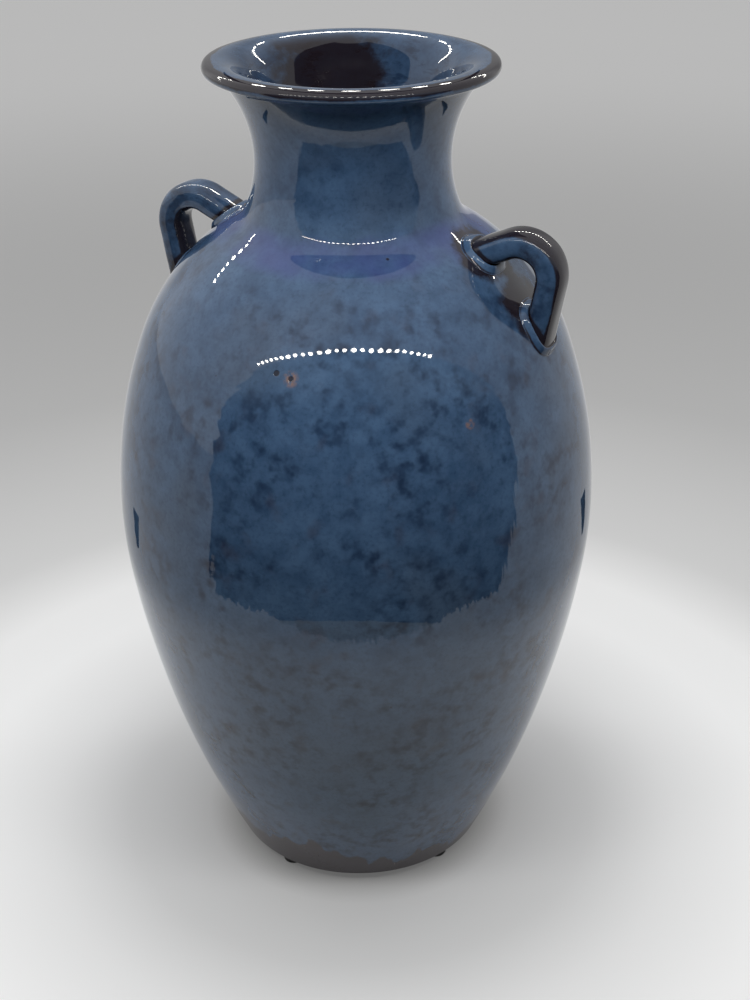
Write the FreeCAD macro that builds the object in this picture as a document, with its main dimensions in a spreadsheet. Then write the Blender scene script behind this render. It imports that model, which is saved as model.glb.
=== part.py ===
import FreeCAD, Part
import math
import os
import Sketcher

# Two-handled stoneware amphora: thrown body and neck, two strap handles,
# a glass coat outside and inside, and four rubber bumpers under the foot.
# +Z is up and the origin is on the table, on the axis of the pot.
# Heights below are measured from the clay foot, which stands on the bumpers.

DIMENSIONS = [
    # clay body
    ("FootR", 58.3, "radius of the foot edge"),
    ("FootBevel", 1.2, "bevel wiped on the foot edge"),
    ("RecessR", 45.0, "radius of the turned recess under the foot"),
    ("RecessDepth", 1.5, "depth of the recess"),
    ("FlankCurve", 495.0, "radius of the long flank arc"),
    ("FlankTopR", 98.6, "radius of the pot where flank meets belly"),
    ("FlankTopZ", 139.5, "height of the same place"),
    ("ShoulderCurve", 93.3, "the shoulder is part of a ball of this radius"),
    ("ShoulderCentreZ", 209.0, "height of the centre of that ball"),
    ("SeatZ", 286.0, "height of the flat seat that carries the neck"),
    ("Wall", 6.5, "wall of the body"),
    ("FloorThick", 7.0, "floor of the body"),
    ("FloorR", 44.0, "radius of the flat part of the floor inside"),
    ("FloorFillet", 15.0, "curve from the floor into the wall"),
    # clay neck
    ("NeckFootR", 50.0, "radius of the foot of the neck"),
    ("NeckFlare", 21.0, "outside curve at the foot of the neck"),
    ("ThroatR", 38.0, "smallest outside radius of the neck"),
    ("ThroatZ", 315.5, "height of the throat"),
    ("ThroatCurve", 50.2, "outside curve of the neck"),
    ("NeckWall", 4.8, "wall of the neck"),
    ("NeckFillet", 6.0, "smoothed edge inside, where shoulder meets neck"),
    ("LipCentreR", 54.6, "radius of the centre of the rolled lip"),
    ("LipCentreZ", 350.7, "height of the same"),
    ("LipR", 1.7, "radius of the roll"),
    ("LipUnder", 7.4, "curve under the lip"),
    ("LipInner", 12.2, "curve inside the lip"),
    # handles
    ("HandleCentreR", 72.2, "distance of the bend's centre from the axis"),
    ("HandleCentreZ", 278.2, "height of the bend's centre"),
    ("HandleBend", 12.4, "radius of the bend, at the middle of the strap"),
    ("HandleRise", 25.0, "slope of the upper leg in degrees"),
    ("HandleFall", 80.0, "slope of the lower leg in degrees"),
    ("HandleUpperLeg", 20.0, "length of the upper leg, root included"),
    ("HandleLowerLeg", 26.0, "length of the lower leg, root included"),
    ("HandleWidth", 14.0, "width of the strap"),
    ("HandleThick", 10.0, "thickness of the strap"),
    ("HandleEdge", 3.4, "rounding of the strap's edges"),
    ("HandleTurn", -27.1, "bearing of the right handle in degrees"),
    ("SocketDepth", 1.5, "depth of the sockets that hold the roots"),
    ("CoilAcross", 9.8, "half width of the clay pressed round a root"),
    ("CoilAlong", 9.0, "half length of the same"),
    ("CoilHigh", 2.6, "half thickness of the same"),
    # glaze
    ("GlazeThick", 0.6, "thickness of the glass coat"),
    ("GlazeLine", 1.6, "height where the outer coat stops above the foot"),
    ("GlazePool", 14.0, "curve of the glass pooled at the foot of the neck"),
    ("LinerTopZ", 338.0, "height where the liner meets the outer coat"),
    # bumpers
    ("PadHeight", 3.0, "bumper and adhesive together"),
    ("PadR", 4.75, "radius of a bumper"),
    ("PadRound", 1.0, "rounding of its lower edge"),
    ("PadCircleR", 52.4, "radius of the circle the bumpers stand on"),
    ("PadSpread", 39.0, "half angle between the two front bumpers"),
    ("PadTurn", 2.5, "bearing of their middle from straight ahead"),
    ("AdhesiveThick", 0.3, "thickness of an adhesive disc"),
    ("AdhesiveR", 4.3, "radius of an adhesive disc"),
]

doc = FreeCAD.newDocument("Amphora")
dims = doc.addObject("Spreadsheet::Sheet", "Dims")
for row, (name, amount, note) in enumerate(DIMENSIONS, start=1):
    dims.set("A%d" % row, name)
    dims.set("B%d" % row, str(amount))
    dims.set("C%d" % row, note)
    dims.setAlias("B%d" % row, name)
doc.recompute()


# points of a sketch line or arc, and the sketch's own axes
START, END, CENTRE = 1, 2, 3
H_AXIS, V_AXIS = -1, -2
ORIGIN = (H_AXIS, START)


def size(name):
    """A driving dimension, read from the sheet."""
    return float(getattr(dims, name))


# ---------------------------------------------------------------- plane geometry
def point(r, z):
    return FreeCAD.Vector(r, z, 0)


def crossing(centre_a, radius_a, centre_b, radius_b, side):
    """Where two circles cross; side +1 is left of the way from a to b."""
    gap = centre_b - centre_a
    reach = gap.Length
    along = (reach ** 2 + radius_a ** 2 - radius_b ** 2) / (2 * reach)
    across = math.sqrt(radius_a ** 2 - along ** 2)
    ahead = gap / reach
    left = point(-ahead.y, ahead.x)
    return centre_a + ahead * along + left * (side * across)


def toward(centre, target, distance):
    """The point that far from centre, on the way to target."""
    return centre + (target - centre).normalize() * distance


class Circle:
    """A circle in the upright half plane of the pot, r across and z up."""

    def __init__(self, centre, radius):
        self.centre = centre
        self.radius = radius

    def touch(self, other):
        """Where this circle meets a smaller one inside it, or one beside it."""
        return toward(self.centre, other.centre, self.radius)


def blend_from(start, normal, ball):
    """The circle that leaves start square to normal and runs into ball."""
    gap = start - ball.centre
    radius = (gap.Length ** 2 - ball.radius ** 2) / (2 * (gap.dot(normal) - ball.radius))
    return Circle(start - normal * radius, radius)


# ---------------------------------------------------------------- sketch helpers
def new_body(name):
    return doc.addObject("PartDesign::Body", name)


def new_sketch(body, name, plane):
    sketch = body.newObject("Sketcher::SketchObject", name)
    support = [f for f in body.Origin.OriginFeatures if f.Role == plane][0]
    sketch.AttachmentSupport = [(support, "")]
    sketch.MapMode = "FlatFace"
    return sketch


class Outline:
    """A chain of lines and arcs, joined end to end inside one sketch."""

    def __init__(self, sketch, start):
        self.sketch = sketch
        self.first = None
        self.last = None
        self.here = start

    def _join(self, index, head, tail, smooth):
        if self.last is not None:
            kind = "Tangent" if smooth else "Coincident"
            self.sketch.addConstraint(
                Sketcher.Constraint(kind, self.last[0], self.last[1], index, head))
        if self.first is None:
            self.first = (index, head)
        self.last = (index, tail)
        return index

    def line(self, end, smooth=False):
        index = self.sketch.addGeometry(Part.LineSegment(self.here, end), False)
        self.here = end
        return self._join(index, START, END, smooth)

    def arc(self, centre, end, clockwise, smooth=True):
        begin = self.here
        ring = Part.Circle(centre, FreeCAD.Vector(0, 0, 1), (end - centre).Length)
        turn_a = math.atan2(begin.y - centre.y, begin.x - centre.x)
        turn_b = math.atan2(end.y - centre.y, end.x - centre.x)
        if clockwise:
            turn_a, turn_b = turn_b, turn_a
        if turn_b < turn_a:
            turn_b += 2 * math.pi
        index = self.sketch.addGeometry(Part.ArcOfCircle(ring, turn_a, turn_b), False)
        self.here = end
        head, tail = (END, START) if clockwise else (START, END)
        return self._join(index, head, tail, smooth)

    def close(self):
        self.sketch.addConstraint(
            Sketcher.Constraint("Coincident", self.last[0], self.last[1], *self.first))


def bind(sketch, constraint, formula):
    """Add a dimension to the sketch and drive it from the sheet."""
    index = sketch.addConstraint(constraint)
    sketch.setExpression("Constraints[%d]" % index, formula)


def place(sketch, index, end, r_formula, z_formula, at):
    """Dimension a point of the sketch from the origin."""
    bind(sketch, Sketcher.Constraint("DistanceX", *ORIGIN, index, end, at.x), r_formula)
    bind(sketch, Sketcher.Constraint("DistanceY", *ORIGIN, index, end, at.y), z_formula)


def radius(sketch, index, ring, formula):
    bind(sketch, Sketcher.Constraint("Radius", index, ring.radius), formula)


def flat(sketch, index):
    sketch.addConstraint(Sketcher.Constraint("Horizontal", index))


def upright(sketch, index):
    sketch.addConstraint(Sketcher.Constraint("Vertical", index))


def revolve(body, sketch):
    turned = body.newObject("PartDesign::Revolution", body.Name + "Turned")
    turned.Profile = sketch
    turned.ReferenceAxis = (sketch, ["V_Axis"])
    turned.Angle = 360
    body.Tip = turned
    return turned


def on_bumpers(thing):
    """Stand a piece on the bumpers."""
    thing.setExpression("Placement.Base.z", "Dims.PadHeight")


# ---------------------------------------------------------------- circles of the pot
def shoulder_ball(grow):
    return Circle(point(0, size("ShoulderCentreZ")), size("ShoulderCurve") + grow)


def throat_circle(grow):
    centre = point(size("ThroatR") + size("ThroatCurve"), size("ThroatZ"))
    return Circle(centre, size("ThroatCurve") + grow)


def lip_circle(grow):
    return Circle(point(size("LipCentreR"), size("LipCentreZ")), size("LipR") + grow)


def at_height(ring, z, side):
    """The point of a circle at height z, on its inner (-1) or outer (+1) side."""
    rise = z - ring.centre.y
    return point(ring.centre.x + side * math.sqrt(ring.radius ** 2 - rise ** 2), z)


def flank_top(grow):
    return point(size("FlankTopR") + grow, size("FlankTopZ"))


def flank_from(foot, grow):
    """The flank circle through a foot point."""
    curve = size("FlankCurve") + grow
    return Circle(crossing(foot, curve, flank_top(grow), curve, 1), curve)


def add_wall(path, flank, ball_end, grow, plus, smooth):
    """Flank, belly and shoulder arcs, going up."""
    sketch = path.sketch
    top = flank_top(grow)
    ball = shoulder_ball(grow)
    belly = blend_from(top, (top - flank.centre).normalize(), ball)
    flank_arc = path.arc(flank.centre, top, False, smooth)
    path.arc(belly.centre, belly.touch(ball), False)
    ball_arc = path.arc(ball.centre, ball_end, False)
    radius(sketch, flank_arc, flank, "Dims.FlankCurve" + plus)
    place(sketch, flank_arc, END, "Dims.FlankTopR" + plus, "Dims.FlankTopZ", top)
    radius(sketch, ball_arc, ball, "Dims.ShoulderCurve" + plus)
    sketch.addConstraint(Sketcher.Constraint("PointOnObject", ball_arc, CENTRE, V_AXIS))
    bind(sketch, Sketcher.Constraint("DistanceY", *ORIGIN, ball_arc, CENTRE, ball.centre.y),
         "Dims.ShoulderCentreZ")
    return ball_arc


def add_neck(path, foot_ring, end_z, grow, plus, minus):
    """From the foot curve up the neck, round the lip and down inside it."""
    sketch = path.sketch
    outside = throat_circle(-grow)
    inside = throat_circle(size("NeckWall") + grow)
    roll = lip_circle(grow)
    under_size = size("LipUnder") - grow
    under_centre = crossing(roll.centre, roll.radius + under_size,
                            outside.centre, outside.radius - under_size, -1)
    under = Circle(under_centre, under_size)
    inner_size = size("LipInner") + grow
    inner_centre = crossing(roll.centre, inner_size - roll.radius,
                            inside.centre, inside.radius - inner_size, -1)
    inner = Circle(inner_centre, inner_size)
    foot_arc = path.arc(foot_ring.centre, outside.touch(foot_ring), True, foot_ring.smooth)
    outside_arc = path.arc(outside.centre, outside.touch(under), True)
    under_arc = path.arc(under.centre, under.touch(roll), True)
    roll_arc = path.arc(roll.centre, inner.touch(roll), False)
    inner_arc = path.arc(inner.centre, inside.touch(inner), False)
    inside_arc = path.arc(inside.centre, at_height(inside, end_z, -1), False)
    radius(sketch, foot_arc, foot_ring, foot_ring.formula)
    radius(sketch, outside_arc, outside, "Dims.ThroatCurve" + minus)
    place(sketch, outside_arc, CENTRE, "Dims.ThroatR + Dims.ThroatCurve", "Dims.ThroatZ", outside.centre)
    radius(sketch, under_arc, under, "Dims.LipUnder" + minus)
    radius(sketch, roll_arc, roll, "Dims.LipR" + plus)
    place(sketch, roll_arc, CENTRE, "Dims.LipCentreR", "Dims.LipCentreZ", roll.centre)
    radius(sketch, inner_arc, inner, "Dims.LipInner" + plus)
    radius(sketch, inside_arc, inside, "Dims.ThroatCurve + Dims.NeckWall" + plus)
    sketch.addConstraint(Sketcher.Constraint("Coincident", inside_arc, CENTRE, outside_arc, CENTRE))
    return inside_arc


def close_on_axis(path, z):
    """A flat line in to the axis, then down the axis to the start."""
    sketch = path.sketch
    start = sketch.Geometry[path.first[0]].StartPoint
    lid = path.line(point(0, z))
    flat(sketch, lid)
    sketch.addConstraint(Sketcher.Constraint("PointOnObject", lid, END, V_AXIS))
    path.line(start)
    path.close()


def start_on_axis(sketch, z, end, r_formula, z_formula):
    """A flat line from the axis out to end."""
    path = Outline(sketch, point(0, z))
    base = path.line(end)
    flat(sketch, base)
    sketch.addConstraint(Sketcher.Constraint("PointOnObject", base, START, V_AXIS))
    place(sketch, base, END, r_formula, z_formula, end)
    return path


# ---------------------------------------------------------------- thrown clay
def make_pot_blank():
    """The body before it is hollowed: foot, bevel, flank, belly, shoulder, seat."""
    blank = new_body("PotBlank")
    sketch = new_sketch(blank, "PotOutline", "XZ_Plane")
    recess = point(size("RecessR"), size("RecessDepth"))
    path = start_on_axis(sketch, recess.y, recess, "Dims.RecessR", "Dims.RecessDepth")
    step = path.line(point(recess.x, 0))
    upright(sketch, step)
    sketch.addConstraint(Sketcher.Constraint("PointOnObject", step, END, H_AXIS))
    sole = path.line(point(size("FootR") - size("FootBevel"), 0))
    flat(sketch, sole)
    bind(sketch, Sketcher.Constraint("DistanceX", *ORIGIN, sole, END, path.here.x),
         "Dims.FootR - Dims.FootBevel")
    edge = point(size("FootR"), size("FootBevel"))
    bevel = path.line(edge)
    place(sketch, bevel, END, "Dims.FootR", "Dims.FootBevel", edge)
    seat = at_height(shoulder_ball(0), size("SeatZ"), 1)
    ball_arc = add_wall(path, flank_from(edge, 0), seat, 0, "", False)
    bind(sketch, Sketcher.Constraint("DistanceY", *ORIGIN, ball_arc, END, seat.y), "Dims.SeatZ")
    close_on_axis(path, seat.y)
    revolve(blank, sketch)
    on_bumpers(blank)
    return blank


def make_hollow(name):
    """The space inside the pot, from the floor to the line where the liner ends."""
    hollow = new_body(name)
    sketch = new_sketch(hollow, name + "Outline", "XZ_Plane")
    grow = -size("Wall")
    floor_end = point(size("FloorR"), size("FloorThick"))
    path = start_on_axis(sketch, floor_end.y, floor_end, "Dims.FloorR", "Dims.FloorThick")
    corner = Circle(floor_end + point(0, size("FloorFillet")), size("FloorFillet"))
    curve = size("FlankCurve") + grow
    flank = Circle(crossing(corner.centre, curve - corner.radius, flank_top(grow), curve, 1), curve)
    corner_arc = path.arc(corner.centre, flank.touch(corner), False)
    radius(sketch, corner_arc, corner, "Dims.FloorFillet")
    ball = shoulder_ball(grow)
    inside = throat_circle(size("NeckWall"))
    bend_size = size("NeckFillet")
    bend_centre = crossing(ball.centre, ball.radius + bend_size,
                           inside.centre, inside.radius - bend_size, 1)
    bend = Circle(bend_centre, bend_size)
    add_wall(path, flank, ball.touch(bend), grow, " - Dims.Wall", True)
    bend_arc = path.arc(bend.centre, inside.touch(bend), True)
    radius(sketch, bend_arc, bend, "Dims.NeckFillet")
    mouth = at_height(inside, size("LinerTopZ"), -1)
    inside_arc = path.arc(inside.centre, mouth, True)
    radius(sketch, inside_arc, inside, "Dims.ThroatCurve + Dims.NeckWall")
    place(sketch, inside_arc, CENTRE, "Dims.ThroatR + Dims.ThroatCurve", "Dims.ThroatZ", inside.centre)
    bind(sketch, Sketcher.Constraint("DistanceY", *ORIGIN, inside_arc, START, mouth.y),
         "Dims.LinerTopZ")
    close_on_axis(path, mouth.y)
    revolve(hollow, sketch)
    on_bumpers(hollow)
    return hollow


def make_neck():
    """The thrown collar: flared foot, waist, rolled lip."""
    neck = new_body("neck")
    sketch = new_sketch(neck, "NeckOutline", "XZ_Plane")
    inside = throat_circle(size("NeckWall"))
    start = at_height(inside, size("SeatZ"), -1)
    foot = point(size("NeckFootR"), size("SeatZ"))
    path = Outline(sketch, start)
    sole = path.line(foot)
    flat(sketch, sole)
    place(sketch, sole, END, "Dims.NeckFootR", "Dims.SeatZ", foot)
    outside = throat_circle(0)
    flare = size("NeckFlare")
    ring = Circle(crossing(foot, flare, outside.centre, outside.radius - flare, 1), flare)
    ring.smooth = False
    ring.formula = "Dims.NeckFlare"
    add_neck(path, ring, start.y, 0, "", "")
    path.close()
    revolve(neck, sketch)
    on_bumpers(neck)
    return neck


# ---------------------------------------------------------------- handles
HANDLE_TURNS = {"right": "360 + Dims.HandleTurn", "left": "180 + Dims.HandleTurn"}
STRAP_START_R = ("Dims.HandleCentreR - Dims.HandleBend * sin(Dims.HandleRise * 1 deg)"
                 " - Dims.HandleUpperLeg * cos(Dims.HandleRise * 1 deg)")
STRAP_START_Z = ("Dims.HandleCentreZ + Dims.HandleBend * cos(Dims.HandleRise * 1 deg)"
                 " - Dims.HandleUpperLeg * sin(Dims.HandleRise * 1 deg)")


def turn_on_axis(thing, side):
    """Stand a handle piece on the bumpers and swing it to its bearing."""
    thing.setExpression(
        "Placement",
        "create(<<placement>>; create(<<vector>>; 0; 0; Dims.PadHeight); "
        "create(<<rotation>>; create(<<vector>>; 0; 0; 1); %s))" % HANDLE_TURNS[side])


def handle_points():
    """Ends of the two legs and of the bend, on the middle line of the strap."""
    centre = point(size("HandleCentreR"), size("HandleCentreZ"))
    rise = math.radians(size("HandleRise"))
    fall = math.radians(size("HandleFall"))
    up = point(math.cos(rise), math.sin(rise))
    down = point(-math.cos(fall), -math.sin(fall))
    bend_start = centre + size("HandleBend") * point(-up.y, up.x)
    bend_end = centre + size("HandleBend") * point(-down.y, down.x)
    start = bend_start - size("HandleUpperLeg") * up
    end = bend_end + size("HandleLowerLeg") * down
    return centre, start, bend_start, bend_end, end


def draw_strap_path(strap, name):
    sketch = new_sketch(strap, name + "Path", "XZ_Plane")
    centre, start, bend_start, bend_end, end = handle_points()
    path = Outline(sketch, start)
    upper = path.line(bend_start)
    bend = path.arc(centre, bend_end, True)
    lower = path.line(end, smooth=True)
    place(sketch, bend, CENTRE, "Dims.HandleCentreR", "Dims.HandleCentreZ", centre)
    radius(sketch, bend, Circle(centre, size("HandleBend")), "Dims.HandleBend")
    place(sketch, upper, START, STRAP_START_R, STRAP_START_Z, start)
    bind(sketch, Sketcher.Constraint("Distance", lower, size("HandleLowerLeg")),
         "Dims.HandleLowerLeg")
    bind(sketch, Sketcher.Constraint("Angle", lower, math.radians(size("HandleFall") - 180)),
         "(Dims.HandleFall - 180) * 1 deg")
    return sketch


def draw_strap_section(strap, name, grow, plus):
    """A rounded strip, square to the upper leg at its buried end."""
    sketch = new_sketch(strap, name + "Section", "XY_Plane")
    sketch.setExpression("AttachmentOffset.Base.x", STRAP_START_R)
    sketch.setExpression("AttachmentOffset.Base.z", STRAP_START_Z)
    tilt = 90 - size("HandleRise")
    sketch.AttachmentOffset = FreeCAD.Placement(
        FreeCAD.Vector(0, 0, 0), FreeCAD.Rotation(FreeCAD.Vector(0, 1, 0), tilt))
    sketch.setExpression("AttachmentOffset.Rotation.Angle", "90 - Dims.HandleRise")
    half_x = size("HandleThick") / 2 + grow
    half_y = size("HandleWidth") / 2 + grow
    edge = size("HandleEdge") + grow
    path = Outline(sketch, point(-half_x + edge, -half_y))
    faces = [point(0, -1), point(1, 0), point(0, 1), point(-1, 0), point(0, -1)]
    arcs = []
    for face, following in zip(faces, faces[1:]):
        corner = face + following
        centre = point(corner.x * (half_x - edge), corner.y * (half_y - edge))
        side = path.line(centre + edge * face, smooth=bool(arcs))
        sketch.addConstraint(Sketcher.Constraint("Horizontal" if face.x == 0 else "Vertical", side))
        arcs.append(path.arc(centre, centre + edge * following, False))
    sketch.addConstraint(Sketcher.Constraint("Tangent", path.last[0], path.last[1], *path.first))
    for arc in arcs[1:]:
        sketch.addConstraint(Sketcher.Constraint("Equal", arcs[0], arc))
    radius(sketch, arcs[0], Circle(None, edge), "Dims.HandleEdge" + plus)
    place(sketch, arcs[1], CENTRE, "Dims.HandleThick / 2 - Dims.HandleEdge",
          "Dims.HandleWidth / 2 - Dims.HandleEdge", point(half_x - edge, half_y - edge))
    place(sketch, arcs[3], CENTRE, "Dims.HandleEdge - Dims.HandleThick / 2",
          "Dims.HandleEdge - Dims.HandleWidth / 2", point(edge - half_x, edge - half_y))
    return sketch


def make_strap(name, side, grow, plus):
    """One handle strap, roots included, before it is trimmed to the shoulder."""
    strap = new_body(name)
    spine = draw_strap_path(strap, name)
    section = draw_strap_section(strap, name, grow, plus)
    doc.recompute()
    pipe = strap.newObject("PartDesign::AdditivePipe", name + "Pipe")
    pipe.Profile = section
    pipe.Spine = (spine, ["Edge1", "Edge2", "Edge3"])
    strap.Tip = pipe
    turn_on_axis(strap, side)
    return strap


def root_places():
    """Where the legs' middle lines enter the shoulder: place and outward direction."""
    _, start, bend_start, bend_end, end = handle_points()
    ball = shoulder_ball(0)
    roots = []
    for outer, inner in ((bend_start, start), (bend_end, end)):
        way = (inner - outer).normalize()
        gap = outer - ball.centre
        toward_ball = gap.dot(way)
        reach = -toward_ball - math.sqrt(toward_ball ** 2 - gap.Length ** 2 + ball.radius ** 2)
        root = outer + reach * way
        roots.append((root, (root - ball.centre).normalize()))
    return roots


def make_clay_rings(name, plus):
    """Flattened balls of clay centred on the four handle roots."""
    rings = []
    for side, turn in (("Right", size("HandleTurn")), ("Left", size("HandleTurn") + 180)):
        swing = FreeCAD.Placement(FreeCAD.Vector(0, 0, size("PadHeight")),
                                  FreeCAD.Rotation(FreeCAD.Vector(0, 0, 1), turn))
        for level, (root, out) in zip(("Upper", "Lower"), root_places()):
            ring = doc.addObject("Part::Ellipsoid", name + side + level)
            ring.setExpression("Radius1", "Dims.CoilHigh" + plus)
            ring.setExpression("Radius2", "Dims.CoilAlong" + plus)
            ring.setExpression("Radius3", "Dims.CoilAcross" + plus)
            lean = math.degrees(math.atan2(out.x, out.y))
            ring.Placement = swing * FreeCAD.Placement(
                FreeCAD.Vector(root.x, 0, root.y),
                FreeCAD.Rotation(FreeCAD.Vector(0, 1, 0), lean))
            rings.append(ring)
    return rings


# ---------------------------------------------------------------- joining pieces
def fuse(name, pieces):
    joined = doc.addObject("Part::MultiFuse", name)
    joined.Shapes = pieces
    return joined


def cut(name, base, tool):
    rest = doc.addObject("Part::Cut", name)
    rest.Base = base
    rest.Tool = tool
    return rest


def group(name, pieces):
    together = doc.addObject("Part::Compound", name)
    together.Links = pieces
    return together


def make_socket_ball():
    """What the handle roots are trimmed to: the shoulder, one socket depth down."""
    ball = doc.addObject("Part::Sphere", "SocketBall")
    ball.setExpression("Radius", "Dims.ShoulderCurve - Dims.SocketDepth")
    ball.setExpression("Placement.Base.z", "Dims.ShoulderCentreZ + Dims.PadHeight")
    return ball


# ---------------------------------------------------------------- glaze
def make_glaze_blank():
    """The outside of the glass, from the foot up over the lip and into the mouth."""
    blank = new_body("GlazeBlank")
    sketch = new_sketch(blank, "GlazeOutline", "XZ_Plane")
    grow = size("GlazeThick")
    plus = " + Dims.GlazeThick"
    edge = point(size("FootR") + grow, size("GlazeLine"))
    path = start_on_axis(sketch, edge.y, edge, "Dims.FootR" + plus, "Dims.GlazeLine")
    ball = shoulder_ball(grow)
    outside = throat_circle(-grow)
    pool_size = size("GlazePool")
    pool = Circle(crossing(ball.centre, ball.radius + pool_size,
                           outside.centre, outside.radius - pool_size, 1), pool_size)
    pool.smooth = True
    pool.formula = "Dims.GlazePool"
    add_wall(path, flank_from(edge, grow), ball.touch(pool), grow, plus, False)
    inside_arc = add_neck(path, pool, size("LinerTopZ"), grow, plus, " - Dims.GlazeThick")
    bind(sketch, Sketcher.Constraint("DistanceY", *ORIGIN, inside_arc, END, size("LinerTopZ")),
         "Dims.LinerTopZ")
    close_on_axis(path, size("LinerTopZ"))
    revolve(blank, sketch)
    on_bumpers(blank)
    return blank


def make_liner():
    """The glass inside: a thin shell of the hollow, open at the mouth."""
    liner = make_hollow("glaze_liner")
    doc.recompute()
    solid = liner.Tip
    faces = solid.Shape.Faces
    mouth = max(range(len(faces)), key=lambda i: faces[i].CenterOfMass.z)
    shell = liner.newObject("PartDesign::Thickness", "LinerShell")
    shell.Base = (solid, ["Face%d" % (mouth + 1)])
    shell.setExpression("Value", "Dims.GlazeThick")
    shell.Reversed = True
    liner.Tip = shell
    return liner


# ---------------------------------------------------------------- bumpers
def make_disc(name, radius_formula, radius_guess, height_formula):
    disc = new_body(name)
    sketch = new_sketch(disc, name + "Round", "XY_Plane")
    ring = Part.Circle(point(0, 0), FreeCAD.Vector(0, 0, 1), radius_guess)
    index = sketch.addGeometry(ring, False)
    sketch.addConstraint(Sketcher.Constraint("Coincident", index, CENTRE, *ORIGIN))
    bind(sketch, Sketcher.Constraint("Radius", index, radius_guess), radius_formula)
    pad = disc.newObject("PartDesign::Pad", name + "Pad")
    pad.Profile = sketch
    pad.setExpression("Length", height_formula)
    disc.Tip = pad
    return disc


def make_bumper(name):
    """A rubber disc with its lower edge rounded."""
    bumper = make_disc(name, "Dims.PadR", size("PadR"), "Dims.PadHeight - Dims.AdhesiveThick")
    doc.recompute()
    solid = bumper.Tip
    edges = solid.Shape.Edges
    rings = [i for i, edge in enumerate(edges) if edge.Closed]
    low = min(rings, key=lambda i: edges[i].CenterOfMass.z)
    rounded = bumper.newObject("PartDesign::Fillet", name + "Edge")
    rounded.Base = (solid, ["Edge%d" % (low + 1)])
    rounded.setExpression("Radius", "Dims.PadRound")
    bumper.Tip = rounded
    return bumper


def stand_under_foot(thing, number, height):
    """Put piece number 0 to 3 at its place under the foot ring."""
    front_or_back = 1 if number < 2 else -1
    left_or_right = -1 if number % 2 == 0 else 1
    bearing = "(Dims.PadTurn - 90 * %d + Dims.PadSpread * %d) * 1 deg" % (
        front_or_back, left_or_right)
    thing.setExpression("Placement.Base.x", "Dims.PadCircleR * cos(%s)" % bearing)
    thing.setExpression("Placement.Base.y", "Dims.PadCircleR * sin(%s)" % bearing)
    if height:
        thing.setExpression("Placement.Base.z", height)


def make_bumpers():
    bumpers = []
    discs = []
    for number in range(4):
        bumper = make_bumper("Bumper%d" % number)
        stand_under_foot(bumper, number, "")
        bumpers.append(bumper)
        disc = make_disc("Adhesive%d" % number, "Dims.AdhesiveR", size("AdhesiveR"),
                         "Dims.AdhesiveThick")
        stand_under_foot(disc, number, "Dims.PadHeight - Dims.AdhesiveThick")
        discs.append(disc)
    return group("foot_pads", bumpers), group("pad_adhesive", discs)


# ---------------------------------------------------------------- the whole pot
pot_blank = make_pot_blank()
hollow = make_hollow("Hollow")
neck = make_neck()
socket_ball = make_socket_ball()
straps = [make_strap("StrapRight", "right", 0, ""), make_strap("StrapLeft", "left", 0, "")]
trim = fuse("HandleTrim", [socket_ball, neck])
handle_right = cut("handle_right", straps[0], trim)
handle_left = cut("handle_left", straps[1], trim)
body = cut("body", pot_blank, fuse("BodyTools", [hollow, handle_right, handle_left]))

rings = make_clay_rings("Ring", "")
handle_coils = cut("handle_coils", group("Rings", rings),
                   fuse("RingTools", [pot_blank, neck] + straps))

grow = size("GlazeThick")
plus = " + Dims.GlazeThick"
glaze_parts = [make_glaze_blank(),
               make_strap("GlazeStrapRight", "right", grow, plus),
               make_strap("GlazeStrapLeft", "left", grow, plus)]
glaze_parts += make_clay_rings("GlazeRing", plus)
clay = fuse("Clay", [pot_blank, neck, hollow] + straps + rings)
glaze_outer = cut("glaze_outer", fuse("GlazeWhole", glaze_parts), clay)
glaze_liner = make_liner()
foot_pads, pad_adhesive = make_bumpers()
doc.recompute()

NODES = [body, neck, handle_left, handle_right, handle_coils,
         glaze_outer, glaze_liner, foot_pads, pad_adhesive]

for thing in doc.Objects:
    if "Invalid" in thing.State or "Error" in thing.State:
        raise RuntimeError("%s is %s" % (thing.Label, thing.State))
for node in NODES:
    if node.Shape.isNull() or not node.Shape.isValid():
        raise RuntimeError("%s has no valid shape" % node.Label)

os.makedirs("parts", exist_ok=True)
for node in NODES:
    node.Shape.exportStep("parts/%s.step" % node.Label)
    print(node.Label, len(node.Shape.Solids), "solids", round(node.Shape.Volume), "mm3")
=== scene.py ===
"""The looks of the glazed two-handled amphora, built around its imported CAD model, in metres.

The clay, the bumpers and their adhesive are the CAD's own nodes with new materials. The glass over the clay
is built here as smooth closed skins: one turned shell, one skin over each handle, and the liner in the pot.
"""
import math
from collections import namedtuple

import bpy
from mathutils import Matrix, Vector, noise


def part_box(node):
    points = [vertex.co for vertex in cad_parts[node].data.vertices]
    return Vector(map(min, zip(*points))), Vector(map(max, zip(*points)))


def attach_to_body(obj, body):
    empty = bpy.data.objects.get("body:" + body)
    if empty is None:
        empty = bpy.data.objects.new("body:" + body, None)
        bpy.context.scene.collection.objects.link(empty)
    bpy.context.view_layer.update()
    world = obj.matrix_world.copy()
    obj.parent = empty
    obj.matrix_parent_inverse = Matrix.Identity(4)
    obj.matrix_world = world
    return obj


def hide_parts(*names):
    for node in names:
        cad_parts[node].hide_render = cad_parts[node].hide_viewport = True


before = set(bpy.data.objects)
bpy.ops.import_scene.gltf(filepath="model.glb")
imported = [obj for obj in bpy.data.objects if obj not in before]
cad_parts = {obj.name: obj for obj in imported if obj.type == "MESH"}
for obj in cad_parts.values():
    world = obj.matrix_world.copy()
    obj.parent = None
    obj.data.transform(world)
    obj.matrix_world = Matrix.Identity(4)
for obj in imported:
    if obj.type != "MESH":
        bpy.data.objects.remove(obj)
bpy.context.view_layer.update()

MM = 0.001

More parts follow.
